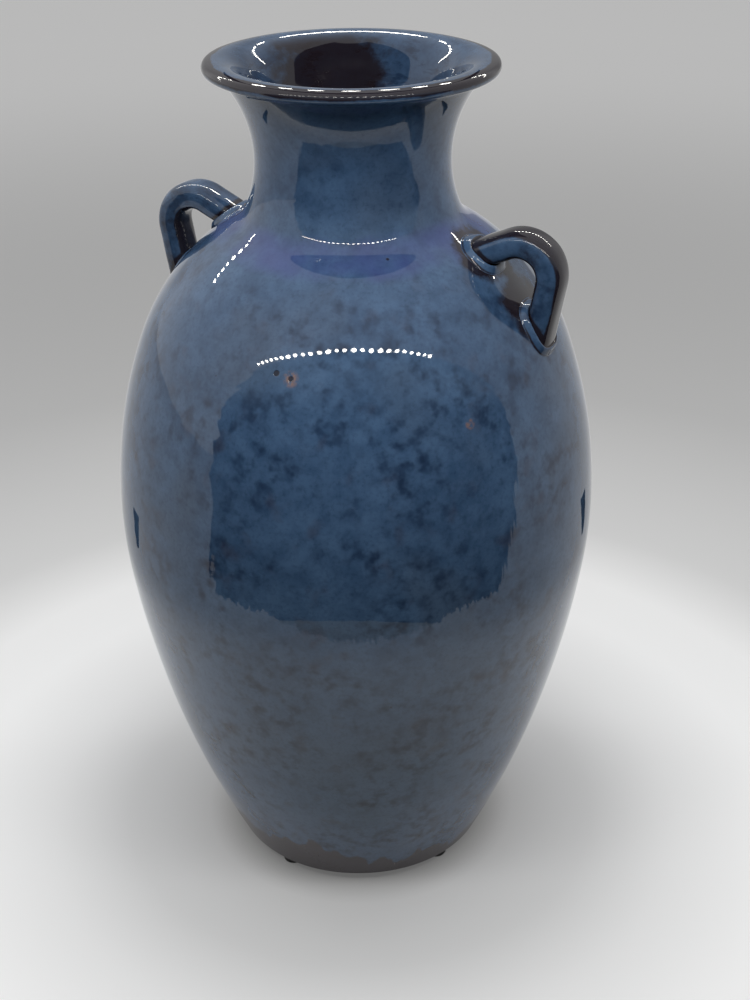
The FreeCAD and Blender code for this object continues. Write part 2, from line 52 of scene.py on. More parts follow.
# ---- driving dimensions
# Millimetres and degrees, as in the part's own sheet; heights are from the clay foot.
FOOT_R = 58.3
GLAZE_LINE = 1.6
FLANK_CURVE = 495.0
FLANK_TOP_R = 98.6
FLANK_TOP_Z = 139.5
SHOULDER_CURVE = 93.3
SHOULDER_CENTRE_Z = 209.0
WALL = 6.5
FLOOR_THICK = 7.0
FLOOR_R = 44.0
FLOOR_FILLET = 15.0
THROAT_R = 38.0
THROAT_Z = 315.5
THROAT_CURVE = 50.2
NECK_WALL = 4.8
NECK_FILLET = 6.0
LIP_CENTRE_R = 54.6
LIP_CENTRE_Z = 350.7
LIP_R = 1.7
LIP_UNDER = 7.4
LIP_INNER = 12.4
FUNNEL_CURVE = 200.0
FUNNEL_LEAN = 18.0
GLAZE = 0.6
GLAZE_POOL = 14.0
LINER_TOP_Z = 338.0
HANDLE_CENTRE_R = 72.2
HANDLE_CENTRE_Z = 278.2
HANDLE_BEND = 12.4
HANDLE_RISE = 25.0
HANDLE_FALL = 80.0
HANDLE_WIDTH = 14.0
HANDLE_THICK = 10.0
COIL_ACROSS = 9.8
COIL_ALONG = 9.0

# The glass stops CLAY_GAP short of the clay, and the clay foot stands FOOT_LIFT above the table.
CLAY_GAP = 0.05
FOOT_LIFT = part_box("body")[0].z / MM


# ---- plane geometry (r across, z up)
def point(r, z):
    return Vector((r, z))


def crossing(centre_a, radius_a, centre_b, radius_b, side):
    """Where two circles cross; side +1 is left of the way from a to b."""
    gap = centre_b - centre_a
    along = (gap.length ** 2 + radius_a ** 2 - radius_b ** 2) / (2 * gap.length)
    across = math.sqrt(radius_a ** 2 - along ** 2)
    ahead = gap.normalized()
    return centre_a + ahead * along + point(-ahead.y, ahead.x) * (side * across)


class Circle:
    """A circle in the upright half plane of the pot."""

    def __init__(self, centre, radius):
        self.centre = centre
        self.radius = radius

    def touch(self, other):
        """Where this circle meets a smaller one inside it, or one beside it."""
        return self.centre + (other.centre - self.centre).normalized() * self.radius

    def at_height(self, z, side):
        reach = math.sqrt(self.radius ** 2 - (z - self.centre.y) ** 2)
        return point(self.centre.x + side * reach, z)


def shoulder_ball(grow):
    return Circle(point(0, SHOULDER_CENTRE_Z), SHOULDER_CURVE + grow)


def throat_circle(grow):
    return Circle(point(THROAT_R + THROAT_CURVE, THROAT_Z), THROAT_CURVE + grow)


def flank_top(grow):
    return point(FLANK_TOP_R + grow, FLANK_TOP_Z)


def between(ball, throat, radius):
    """The small circle that runs from the outside of ball into the hollow of throat."""
    centre = crossing(ball.centre, ball.radius + radius, throat.centre, throat.radius - radius, 1)
    return Circle(centre, radius)


def belly_arcs(flank, grow, ball_end):
    """(centre, end) of the flank, belly and shoulder arcs, going up."""
    top = flank_top(grow)
    ball = shoulder_ball(grow)
    normal = (top - flank.centre).normalized()
    gap = top - ball.centre
    belly_radius = (gap.length ** 2 - ball.radius ** 2) / (2 * (gap.dot(normal) - ball.radius))
    belly = Circle(top - normal * belly_radius, belly_radius)
    return [(flank.centre, top), (belly.centre, belly.touch(ball)), (ball.centre, ball_end)]


# The longest step along an arc and the sharpest turn in one; hidden sides keep every third point.
ARC_STEP = 1.8
ARC_TURN = math.radians(7)
HIDDEN_STRIDE = 3


def follow(start, arcs):
    """Evenly spaced points along arcs, each given by its centre and its end."""
    points = [start]
    for centre, end in arcs:
        before = points[-1] - centre
        turn = before.angle_signed(end - centre)
        steps = math.ceil(max(before.length * abs(turn) / ARC_STEP, abs(turn) / ARC_TURN, 1))
        for step in range(1, steps + 1):
            points.append(centre + Matrix.Rotation(-turn * step / steps, 2) @ before)
    return points


def funnel():
    """Where the throat straightens into the mouth, and the nearly straight wall above that."""
    throat = throat_circle(NECK_WALL + GLAZE)
    lean = math.radians(FUNNEL_LEAN)
    outward = point(math.cos(lean), -math.sin(lean))
    start = throat.centre - outward * throat.radius
    return start, Circle(start + outward * FUNNEL_CURVE, FUNNEL_CURVE)


def belly_reach(z):
    """How far from the axis the outside of the shoulder is."""
    return shoulder_ball(GLAZE).at_height(z, 1).x


def outer_outline():
    """The outside of the glass, from the foot up over the lip and into the mouth."""
    edge = point(FOOT_R + GLAZE, GLAZE_LINE)
    curve = FLANK_CURVE + GLAZE
    flank = Circle(crossing(edge, curve, flank_top(GLAZE), curve, 1), curve)
    ball = shoulder_ball(GLAZE)
    outside = throat_circle(-GLAZE)
    inside = funnel()[1]
    pool = between(ball, outside, GLAZE_POOL)
    roll = Circle(point(LIP_CENTRE_R, LIP_CENTRE_Z), LIP_R + GLAZE)
    under_radius = LIP_UNDER - GLAZE
    under = Circle(crossing(roll.centre, roll.radius + under_radius,
                            outside.centre, outside.radius - under_radius, -1), under_radius)
    inner_radius = LIP_INNER + GLAZE
    inner = Circle(crossing(roll.centre, inner_radius - roll.radius,
                            inside.centre, inside.radius - inner_radius, -1), inner_radius)
    arcs = belly_arcs(flank, GLAZE, ball.touch(pool))
    arcs += [(pool.centre, outside.touch(pool)), (outside.centre, outside.touch(under)),
             (under.centre, under.touch(roll)), (roll.centre, inner.touch(roll)),
             (inner.centre, inside.touch(inner)), (inside.centre, inside.at_height(LINER_TOP_Z, -1))]
    return follow(edge, arcs)


def liner_outline():
    """The glazed inside of the pot, from the middle of the floor up to the throat."""
    grow = -WALL - GLAZE
    corner_radius = FLOOR_FILLET - GLAZE
    floor_end = point(FLOOR_R, FLOOR_THICK + GLAZE)
    corner = Circle(floor_end + point(0, corner_radius), corner_radius)
    curve = FLANK_CURVE + grow
    flank = Circle(crossing(corner.centre, curve - corner_radius, flank_top(grow), curve, 1), curve)
    ball = shoulder_ball(grow)
    inside = throat_circle(NECK_WALL + GLAZE)
    bend = between(ball, inside, NECK_FILLET + GLAZE)
    arcs = [(corner.centre, flank.touch(corner))] + belly_arcs(flank, grow, ball.touch(bend))
    mouth_start, mouth = funnel()
    arcs += [(bend.centre, inside.touch(bend)), (inside.centre, mouth_start),
             (mouth.centre, mouth.at_height(LINER_TOP_Z, -1))]
    steps = math.ceil(FLOOR_R / ARC_STEP)
    floor = [point(FLOOR_R * step / steps, floor_end.y) for step in range(1, steps)]
    return floor + follow(floor_end, arcs)


def sparse(points):
    """Fewer points, for a side that is out of sight; the ends stay."""
    return points[:-1:HIDDEN_STRIDE] + points[-1:]


def beside(points, distance):
    """The same line moved to its left by distance."""
    moved = []
    for index, here in enumerate(points):
        way = points[min(index + 1, len(points) - 1)] - points[max(index - 1, 0)]
        moved.append(here + point(-way.y, way.x).normalized() * distance)
    return moved


# ---- meshes
# Points about the axis, and the angle from which an edge is sharp.
SPIN = 240
SHARP = math.radians(50)


def fade(value, near, far):
    """1 at near, 0 at far, smooth between and flat beyond."""
    share = min(max((far - value) / (far - near), 0.0), 1.0)
    return share * share * (3 - 2 * share)


def build(name, points, faces):
    """A smooth closed piece, riding on the part, from points in millimetres above the clay foot."""
    lift = Vector((0, 0, FOOT_LIFT))
    mesh = bpy.data.meshes.new(name)
    mesh.from_pydata([(p + lift) * MM for p in points], [], faces)
    mesh.polygons.foreach_set("use_smooth", [True] * len(mesh.polygons))
    mesh.update()
    mesh.set_sharp_from_angle(angle=SHARP)
    piece = bpy.data.objects.new(name, mesh)
    bpy.context.scene.collection.objects.link(piece)
    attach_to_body(piece, "root")
    return piece


def attach(piece, attribute, values):
    """Stores one number per vertex for the materials to read."""
    layer = piece.data.attributes.new(attribute, "FLOAT", "POINT")
    layer.data.foreach_set("value", values)


def dimple(piece, amount, size, seed):
    """Moves the surface in and out by faint, smooth noise, as a hand-made one is."""
    mesh = piece.data
    offset = Vector((seed, seed * 2, seed * 3))
    normals = [vertex.normal.copy() for vertex in mesh.vertices]
    for vertex, normal in zip(mesh.vertices, normals):
        vertex.co += normal * (amount * MM * noise.noise(vertex.co / (size * MM) + offset))
    mesh.update()


def ring_faces(rows, columns, wrap):
    """Quads between rows of columns points each; wrap joins the last row to the first."""
    faces = []
    for row in range(rows if wrap else rows - 1):
        here = row * columns
        there = (row + 1) % rows * columns
        for column in range(columns):
            following = (column + 1) % columns
            faces.append((here + column, here + following, there + following, there + column))
    return faces


def turned(name, outline):
    """A closed outline turned about the axis."""
    points = []
    for place in outline:
        for step in range(SPIN):
            angle = math.tau * step / SPIN
            points.append(Vector((place.x * math.cos(angle), place.x * math.sin(angle), place.y)))
    return build(name, points, ring_faces(len(outline), SPIN, True))


# ---- the turned glass
# In millimetres, but STAIN_THIN, STAIN_SHIFT and CREASE_LEAN are shares. A THIN or REACH pair holds the two
# distances between which an effect fades. The lip is burnt LIP_BURNT outward and up from its crest.
LIP_THIN = (1.2, 3.7)
LIP_BURNT = (0.6, -0.3)
FOOT_LINE = 19.0
FOOT_BLUR = 5.0
STAIN_THIN = 0.72
STAIN_REACH = (10.0, 23.0)
STAIN_SHIFT = 0.3
POOL_REACH = (4.0, 17.0)
CREASE_LEAN = 0.35
MOUTH_REACH = (5.0, 12.0)
MOUTH_MARGIN = 1.0
# Waves about the foot, their rise in millimetres, and a seed.
FOOT_SCALLOPS = ((1.1, 14.0, 4.0), (3.6, 12.0, 9.0), (9.0, 8.0, 21.0), (20.0, 5.0, 33.0))
# How far a wall wavers in millimetres, the size of the waver, and a seed.
WAVE = (0.16, 34, 1)


def foot_line(bearing):
    """The ragged height, in millimetres, up to which the glaze ran thin."""
    height = FOOT_LINE
    for waves, rise, seed in FOOT_SCALLOPS:
        height += rise * noise.noise(Vector((waves * math.cos(bearing), waves * math.sin(bearing), seed)))
    return height


def make_glaze_skin(stains):
    """The turned shell of glass outside and over the lip, burnt thin about each place in stains."""
    outer = outer_outline()
    skin = turned("glaze_skin", outer + sparse(beside(outer, GLAZE - CLAY_GAP))[::-1])
    crest = point(LIP_CENTRE_R, LIP_CENTRE_Z + LIP_R)
    burnt_lip = crest + point(*LIP_BURNT)
    ball = shoulder_ball(GLAZE)
    outside = throat_circle(-GLAZE)
    pool = between(ball, outside, GLAZE_POOL)
    crease = pool.centre - (pool.centre.normalized() + point(CREASE_LEAN, 0)).normalized() * pool.radius
    thin = []
    pooled = []
    inner = []
    for vertex in skin.data.vertices:
        place = vertex.co / MM - Vector((0, 0, FOOT_LIFT))
        flat = point(place.xy.length, place.z)
        inside = flat.y > THROAT_Z and flat.x < outside.at_height(flat.y, -1).x - MOUTH_MARGIN
        above = flat.y - foot_line(math.atan2(place.y, place.x))
        stained = max(fade((place - stain).length, *STAIN_REACH) for stain in stains) * STAIN_THIN
        at_lip = fade((flat - burnt_lip).length, *LIP_THIN)
        at_foot = fade(above, -FOOT_BLUR, FOOT_BLUR)
        thin.append(max(at_lip, at_foot, stained))
        pooled.append(fade((flat - crease).length, *POOL_REACH))
        inner.append(1 - fade((flat - crest).length, *MOUTH_REACH) if inside else 0.0)
    attach(skin, "glaze_thin", thin)
    attach(skin, "glaze_pool", pooled)
    attach(skin, "glaze_inner", inner)
    dimple(skin, *WAVE)
    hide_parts("glaze_outer")
    return skin


RING_PITCH = 7.5
RING_SLANT = 0.4
RING_DEPTH = 0.22
RING_TOP = (285, 305)


def make_liner_skin():
    """The glass inside, over the rings that the potter's fingers left."""
    inner = liner_outline()
    rippled = []
    for place, pulled in zip(inner, beside(inner, RING_DEPTH)):
        ripple = (1 + math.sin(math.tau * (place.y + place.x * RING_SLANT) / RING_PITCH)) / 2
        rippled.append(place.lerp(pulled, ripple * fade(place.y, *RING_TOP)))
    outline = rippled + sparse(beside(inner, CLAY_GAP - GLAZE))[::-1]
    skin = turned("liner_skin", outline)
    attach(skin, "glaze_inner", [1.0] * len(skin.data.vertices))
    dimple(skin, *WAVE)
    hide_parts("glaze_liner")
    return skin


# ---- handle skins
# A skirt is the glass over one pressed coil: lengths in millimetres, RIDGE_RISE a factor.
SECTION_POINTS = 72
SECTION_POWER = 2 / 2.9
BEND_STEPS = 30
LEG_STEPS = 12
CREASE_HIGH = 1.75
RIDGE_RISE = 5.0
SKIRT_STEPS = 14
SKIRT_LEAST = 2.8
SKIRT_TOE = 1.1
SKIRT_SUNK = 0.12
PLUG_DEPTH = 4 * GLAZE
STRAP_WAVE = (0.12, 9, 3)
# How thin the glass is, from 0 to 1, and the millimetres over which it thins at edges and roots. FACE_START
# is a share of the strap's width; the places in the crease and at the toe are shares of the skirt's width.
FACE_THIN = 0.85
SIDE_THIN = 0.42
FACE_START = 0.38
EDGE_REACH = (0.5, 2.4)
ROOT_THIN = 0.9
ROOT_REACH = (0.5, 4.0)
CREASE_THIN = 0.95
CREASE_REACH = (0.05, 0.28)
TOE_THIN = 0.6
TOE_MIDDLE = 0.78
TOE_REACH = 0.22


def rounded(value):
    """A cosine or sine bent towards a rounded rectangle."""
    return math.copysign(abs(value) ** SECTION_POWER, value)


def strap_section():
    """Points round the strap: outward in the handle's plane, and across it."""
    half_thick = HANDLE_THICK / 2 + GLAZE
    half_width = HANDLE_WIDTH / 2 + GLAZE
    section = []
    for step in range(SECTION_POINTS):
        angle = math.tau * step / SECTION_POINTS
        section.append((half_thick * rounded(math.cos(angle)), half_width * rounded(math.sin(angle))))
    return section


def placed(middle, way, offset):
    """A section point in the handle's own space: r outward, y across, z up."""
    outward = point(-way.y, way.x)
    spot = middle + outward * offset[0]
    return Vector((spot.x, offset[1], spot.y))


def reach_ball(start, way, radius):
    """How far along way from start the ball of the shoulder is."""
    gap = start - Vector((0, 0, SHOULDER_CENTRE_Z))
    toward = gap.dot(way)
    return -toward - math.sqrt(toward ** 2 - gap.length_squared + radius ** 2)


def root_skirt(feet, root):
    """Rings that run from the strap's foot over the pressed coil of clay and out onto the shoulder."""
    centre = Vector((0, 0, SHOULDER_CENTRE_Z))
    radius = SHOULDER_CURVE + GLAZE
    normal = (root - centre).normalized()
    along = Vector((0, 1, 0)).cross(normal)
    rings = [[] for _ in range(SKIRT_STEPS)]
    for foot in feet:
        up = (foot - centre).normalized()
        away = foot - root
        away = (away - up * away.dot(up)).normalized()
        coil = 1 / math.hypot(away.dot(along) / (COIL_ALONG + GLAZE), away.y / (COIL_ACROSS + GLAZE))
        width = max(coil - (foot - root).length, SKIRT_LEAST) + SKIRT_TOE
        for step, ring in enumerate(rings, start=1):
            share = step / SKIRT_STEPS
            high = CREASE_HIGH * (1 - share) ** 2 * (1 + RIDGE_RISE * share) - SKIRT_SUNK * share
            turn = share * width / radius
            ring.append(centre + (up * math.cos(turn) + away * math.sin(turn)) * (radius + high))
    return rings


def strap_leg(corner, way, section, outward_way):
    """Rings from the bend to the shoulder, the rings of the skirt, and the middle of the root."""
    heading = Vector((way.x, 0, way.y))
    starts = [placed(corner, outward_way, offset) for offset in section]
    ball_radius = SHOULDER_CURVE + GLAZE
    reaches = [reach_ball(start, heading, ball_radius + CREASE_HIGH) for start in starts]
    legs = []
    for step in range(1, LEG_STEPS + 1):
        share = step / LEG_STEPS
        legs.append([start + heading * reach * share for start, reach in zip(starts, reaches)])
    middle = Vector((corner.x, 0, corner.y))
    root = middle + heading * reach_ball(middle, heading, ball_radius)
    return legs, root_skirt(legs[-1], root), root


def strap_thin(offset, back_thin):
    """How thin the glass is at a section point: thick on the sides, thin inside the bow and at the edges."""
    face = fade(abs(offset[1]), HANDLE_WIDTH * FACE_START, HANDLE_WIDTH / 2)
    edge = fade(HANDLE_THICK / 2 - abs(offset[0]), *EDGE_REACH)
    flat = back_thin if offset[0] > 0 else FACE_THIN
    return max(SIDE_THIN + (flat - SIDE_THIN) * face, edge * flat)


def skirt_thin(share):
    """How thin the glass is across a skirt: burnt in the crease, thick on the ridge, broken at the toe."""
    crease = CREASE_THIN * fade(share, *CREASE_REACH)
    toe = TOE_THIN * fade(abs(share - TOE_MIDDLE), 0, TOE_REACH)
    return max(crease, toe)


def bow_rings(centre, rise, fall, section):
    """Rings round the bend, from the end of the rising leg to the start of the falling one."""
    rings = []
    for step in range(BEND_STEPS + 1):
        heading = rise - (math.pi - fall + rise) * step / BEND_STEPS
        way = point(math.cos(heading), math.sin(heading))
        middle = centre + HANDLE_BEND * point(-way.y, way.x)
        rings.append([placed(middle, way, offset) for offset in section])
    return rings


def glass_thinness(rings, section, back_thin):
    """How thin the glass is at each point of the rings, of which the first and last are the skirts'."""
    thin = []
    for row, ring in enumerate(rings):
        skirt = max(SKIRT_STEPS - row, row + 1 + SKIRT_STEPS - len(rings)) / SKIRT_STEPS
        for offset, spot in zip(section, ring):
            ball_gap = (spot - Vector((0, 0, SHOULDER_CENTRE_Z))).length - SHOULDER_CURVE - GLAZE
            root = ROOT_THIN * fade(abs(ball_gap - CREASE_HIGH), *ROOT_REACH)
            thin.append(skirt_thin(skirt) if skirt > 0 else max(strap_thin(offset, back_thin), root))
    return thin


def handle_bearing(node):
    """The angle about the axis at which the CAD's handle stands."""
    total = sum((vertex.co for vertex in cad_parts[node].data.vertices), Vector())
    return math.atan2(total.y, total.x)


def make_handle_skin(name, node, back_thin):
    """The glass over one handle: strap, bend and the skirts at both roots, closed out of sight in the clay.

    back_thin is how thin the glass is on the strap's outer face. Returns the skin and its roots' middles.
    """
    centre = point(HANDLE_CENTRE_R, HANDLE_CENTRE_Z)
    rise = math.radians(HANDLE_RISE)
    fall = math.radians(HANDLE_FALL)
    up = point(math.cos(rise), math.sin(rise))
    down = point(-math.cos(fall), -math.sin(fall))
    section = strap_section()
    bend_start = centre + HANDLE_BEND * point(-up.y, up.x)
    bend_end = centre + HANDLE_BEND * point(-down.y, down.x)
    upper, upper_skirt, upper_root = strap_leg(bend_start, -up, section, up)
    lower, lower_skirt, lower_root = strap_leg(bend_end, down, section, down)
    bend = bow_rings(centre, rise, fall, section)
    rings = upper_skirt[::-1] + upper[::-1] + bend + lower + lower_skirt
    points = [spot for ring in rings for spot in ring]
    faces = ring_faces(len(rings), SECTION_POINTS, False)
    last = len(points) - SECTION_POINTS
    points += [upper_root - Vector((0, 0, PLUG_DEPTH)), lower_root - Vector((PLUG_DEPTH, 0, 0))]
    thin = glass_thinness(rings, section, back_thin) + [0.0, 0.0]
    for column in range(SECTION_POINTS):
        following = (column + 1) % SECTION_POINTS
        faces.append((len(points) - 2, following, column))
        faces.append((len(points) - 1, last + column, last + following))
    swing = Matrix.Rotation(handle_bearing(node), 3, "Z")
    skin = build(name, [swing @ spot for spot in points], faces)
    attach(skin, "glaze_thin", thin)
    attach(skin, "glaze_pool", [0.0] * len(thin))
    attach(skin, "glaze_inner", [0.0] * len(thin))
    dimple(skin, *STRAP_WAVE)
    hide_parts("glaze_outer")
    return skin, [swing @ upper_root, swing @ lower_root]


# ---- materials
# A noise: its size in millimetres, a seed, how fine and how rough its detail is, the two values between which
# it comes in, its strength, and how it is distorted and stretched.
Layer = namedtuple("Layer", "size seed detail roughness low high strength distortion stretch",
                   defaults=(4.0, 0.55, 0.0, 1.0, 1.0, 0.0, (1, 1, 1)))


def wire(node, feeds):
    """Gives sockets of the node, by name or number, a plain value or another node's output."""
    for key, value in feeds.items():
        if isinstance(value, bpy.types.NodeSocket):
            node.id_data.links.new(value, node.inputs[key])
        else:
            node.inputs[key].default_value = value


def add_node(tree, kind, feeds=(), **settings):
    node = tree.nodes.new(kind)
    for key, value in settings.items():
        setattr(node, key, value)
    wire(node, dict(feeds))
    return node


def smooth_ramp(tree, value, start, end, first, last):
    """A smooth change from first to last as value goes from start to end."""
    feeds = {0: value, 1: start, 2: end, 3: first, 4: last}
    return add_node(tree, "ShaderNodeMapRange", feeds, interpolation_type="SMOOTHSTEP").outputs[0]


class Recipe:
    """A material made of one Principled shader; every call adds a node and returns its output."""

    def __init__(self, name):
        self.material = bpy.data.materials.new(name)
        self.material.use_nodes = True
        self.tree = self.material.node_tree
        self.surface = self.tree.nodes["Principled BSDF"]
        self.place = self.add("ShaderNodeTexCoord").outputs["Object"]

    def add(self, kind, feeds=(), **settings):
        return add_node(self.tree, kind, feeds, **settings)

    def maths(self, operation, first, second):
        return self.add("ShaderNodeMath", {0: first, 1: second}, operation=operation).outputs[0]

    def scaled(self, value, factor):
        return self.maths("MULTIPLY", value, factor)

    def moved(self, shift, stretch):
        feeds = {"Vector": self.place, "Location": shift, "Scale": stretch}
        return self.add("ShaderNodeMapping", feeds).outputs[0]

    def clouds(self, layer):
        """The layer's plain noise, from 0 to 1."""
        shift = (layer.seed, layer.seed * 0.7, layer.seed * 0.3)
        feeds = {"Vector": self.moved(shift, layer.stretch), "Scale": 1 / (layer.size * MM),
                 "Detail": layer.detail, "Roughness": layer.roughness, "Distortion": layer.distortion}
        return self.add("ShaderNodeTexNoise", feeds).outputs["Fac"]

    def patches(self, layer):
        """Soft patches from 0 to the layer's strength, where its noise rises from low to high."""
        return self.scaled(self.step(self.clouds(layer), layer.low, layer.high), layer.strength)

    def torn(self, share, layer):
        """A ragged edge: the layer's noise is added to share, and the sum comes in from low to high."""
        noise_part = self.scaled(self.clouds(layer), layer.strength)
        return self.step(self.maths("ADD", share, noise_part), layer.low, layer.high)

    def uneven(self, least, layer):
        """The value least, plus the layer's noise up to its strength."""
        return self.maths("ADD", self.scaled(self.clouds(layer), layer.strength), least)

    def step(self, value, low, high):
        """Smooth 0 to 1 as value goes from low to high; low may be the larger."""
        ends = (low, high, 0.0, 1.0) if low < high else (high, low, 1.0, 0.0)
        return smooth_ramp(self.tree, value, *ends)

    def mix(self, share, first, second):
        feeds = {"Factor": share, 6: self.colour(first), 7: self.colour(second)}
        return self.add("ShaderNodeMix", feeds, data_type="RGBA").outputs[2]

    def colour(self, value):
        return value if isinstance(value, bpy.types.NodeSocket) else (*value, 1.0)

    def number(self, attribute):
        return self.add("ShaderNodeAttribute", attribute_name=attribute).outputs["Fac"]

    def near(self, spot, radius, blur):
        """1 within radius of a spot, fading to 0 over blur; all in metres."""
        gap = self.add("ShaderNodeVectorMath", {0: self.place, 1: spot}, operation="DISTANCE")
        return self.step(gap.outputs["Value"], radius + blur, radius)

    def height(self):
        return self.add("ShaderNodeSeparateXYZ", {0: self.place}).outputs["Z"]

    def bump(self, height, distance, under=None):
        """Relief of so many millimetres; under is the relief that it lies on."""
        feeds = {"Height": height, "Distance": distance * MM}
        if under:
            feeds["Normal"] = under
        return self.add("ShaderNodeBump", feeds).outputs[0]

    def finish(self, colour, roughness, normal):
        wire(self.surface, {"Base Color": colour, "Roughness": roughness, "Normal": normal})
        return self.material


STEEL_BLUE = (0.062, 0.118, 0.214)
MID_BLUE = (0.034, 0.072, 0.142)
PALE_BLUE_AND_FLOOR_SHEEN = (0.094, 0.162, 0.292)
NAVY = (0.008, 0.018, 0.046)
VIOLET = (0.060, 0.074, 0.245)
SLATE = (0.058, 0.084, 0.128)
PLUM_BROWN = (0.037, 0.029, 0.041)
FOOT_BROWN = (0.058, 0.043, 0.048)
UMBER = (0.014, 0.007, 0.007)
RUST = (0.27, 0.14, 0.075)

BROAD = Layer(size=30, seed=0.1, detail=3.0, roughness=0.5, low=0.38, high=0.62, strength=0.4)
SMALL = Layer(size=8, seed=1.9, detail=3.0, roughness=0.6, low=0.32, high=0.66, strength=0.6)
HAZE = Layer(size=46, seed=3.3, detail=2.0, low=0.50, high=0.72, strength=0.45)
MILK = Layer(size=28, seed=6.3, detail=3.0)
CLUSTER = Layer(size=26, seed=2.1, detail=2.0, low=0.36, high=0.62)
FLECK = Layer(size=6, seed=3.7, detail=2.0, roughness=0.5, low=0.40, high=0.76)
SMUDGE = Layer(size=11, seed=5.9, detail=2.0, roughness=0.5, low=0.56, high=0.78)
GRAIN = Layer(size=1.6, seed=7.7, detail=3.0, roughness=0.6, low=0.42, high=0.80, strength=0.30)
# Heights in metres at which the neck's calm begins and is full, and likewise the flank's milky glaze, which
# is also a painted reflection of the bright floor.
CALM_NECK = (0.270, 0.300)
MILKY_AND_SHEEN_FLANK = (0.200, 0.070)
# The strength of flecks and smudges, and how much of it the neck loses.
FLECK_DEPTH = (0.85, 0.5)
SMUDGE_DEPTH = (0.38, 0.3)


def mottled_blue(recipe):
    """The blue of the glaze: cloudy, with soft clusters of navy and a few plum-brown smudges."""
    tone = recipe.maths("ADD", recipe.patches(BROAD), recipe.patches(SMALL))
    base = recipe.mix(tone, MID_BLUE, STEEL_BLUE)
    base = recipe.mix(recipe.patches(HAZE), base, SLATE)
    # Milky glaze low on the flank; its pale blue is also a painted reflection of the floor.
    milky_and_sheen = recipe.scaled(recipe.step(recipe.height(), *MILKY_AND_SHEEN_FLANK), recipe.clouds(MILK))
    base = recipe.mix(milky_and_sheen, base, PALE_BLUE_AND_FLOOR_SHEEN)
    calm = recipe.step(recipe.height(), *CALM_NECK)
    fleck_depth, smudge_depth = [recipe.maths("SUBTRACT", depth, recipe.scaled(calm, loss))
                                 for depth, loss in (FLECK_DEPTH, SMUDGE_DEPTH)]
    flecks = recipe.scaled(recipe.patches(CLUSTER), recipe.patches(FLECK))
    base = recipe.mix(recipe.scaled(flecks, fleck_depth), base, NAVY)
    base = recipe.mix(recipe.scaled(recipe.patches(SMUDGE), smudge_depth), base, PLUM_BROWN)
    return recipe.mix(recipe.patches(GRAIN), base, NAVY)


STREAK = Layer(size=13, seed=27.1, roughness=0.6, low=0.42, high=0.66, distortion=0.2, stretch=(1, 1, 3.5))
STREAK_DEPTH = 0.8
# Painted shade: the least share of navy anywhere inside the mouth, darkening the whole inside.
MOUTH_SHADE = 0.4
# The burnt patch: its place in millimetres and radians, and its core and blur in metres.
BLOTCH_R = 40
BLOTCH_Z = 334
BLOTCH_BEARING = math.radians(108)
BLOTCH_SPREAD = (0.008, 0.040)
BLOTCH_EDGE = Layer(size=15, seed=29.3, detail=5.0, roughness=0.65, low=1.0, high=1.35, strength=1.2)
BLOTCH_DEPTH = 0.9


def on_pot(radius, bearing, height):
    """A place in metres, from millimetres above the clay foot."""
    return Vector((radius * math.cos(bearing), radius * math.sin(bearing), height + FOOT_LIFT)) * MM


def mouth_stains_and_shade(recipe, colour):
    """Inside the mouth: level navy streaks in the glaze, painted shade that darkens all of it, and a burnt
    patch on the far side.
    """
    inner = recipe.number("glaze_inner")
    # Painted shade: the streaks' navy never falls below MOUTH_SHADE inside the mouth.
    dark = recipe.scaled(recipe.maths("MAXIMUM", recipe.patches(STREAK), MOUTH_SHADE), inner)
    colour = recipe.mix(recipe.scaled(dark, STREAK_DEPTH), colour, NAVY)
    blotch = recipe.near(on_pot(BLOTCH_R, BLOTCH_BEARING, BLOTCH_Z), *BLOTCH_SPREAD)
    burnt = recipe.scaled(recipe.torn(blotch, BLOTCH_EDGE), inner)
    return recipe.mix(recipe.scaled(burnt, BLOTCH_DEPTH), colour, UMBER)


# A burst bubble: its bearing in degrees, height and radius in millimetres, the strength of its rusty halo,
# and the share of its radius that is an open hole.
Scar = namedtuple("Scar", "bearing height radius halo opening")
SCARS = (Scar(-110.8, 256.5, 1.7, halo=0.0, opening=0.55),
         Scar(-106.7, 255.2, 2.9, halo=0.8, opening=0.24),
         Scar(-62.0, 236.7, 1.9, halo=1.0, opening=0.0))
HALO_CORE = 0.5
HALO_BLUR = 0.8
HALO_TORN = Layer(size=2.4, seed=71.1, low=0.34, high=0.62)
HOLE_BLUR = 0.25


def scars(recipe, colour):
    """The colour with a rusty halo round each burst bubble, and the share of open hole at each place."""
    holes = 0.0
    torn = recipe.patches(HALO_TORN)
    for scar in SCARS:
        spot = on_pot(belly_reach(scar.height), math.radians(scar.bearing), scar.height)
        radius = scar.radius * MM
        ring = recipe.near(spot, radius * HALO_CORE, radius * HALO_BLUR)
        colour = recipe.mix(recipe.scaled(recipe.scaled(ring, torn), scar.halo), colour, RUST)
        if scar.opening:
            hole = recipe.near(spot, radius * scar.opening, radius * min(scar.opening, HOLE_BLUR))
            holes = recipe.maths("MAXIMUM", hole, holes)
    return colour, holes


# Pinholes: how far apart in millimetres, which of them are there, and their edge as shares of the spacing.
PINHOLE_SPACING = 13
PINHOLE_CHOSEN = (0.90, 0.92)
PINHOLE_EDGE = (0.065, 0.03)


def pinholes(recipe):
    """Small open bubbles, scattered thinly."""
    feeds = {"Vector": recipe.place, "Scale": 1 / (PINHOLE_SPACING * MM)}
    node = recipe.add("ShaderNodeTexVoronoi", feeds)
    split = recipe.add("ShaderNodeSeparateColor", {0: node.outputs["Color"]})
    chosen = recipe.step(split.outputs[0], *PINHOLE_CHOSEN)
    return recipe.scaled(recipe.step(node.outputs["Distance"], *PINHOLE_EDGE), chosen)


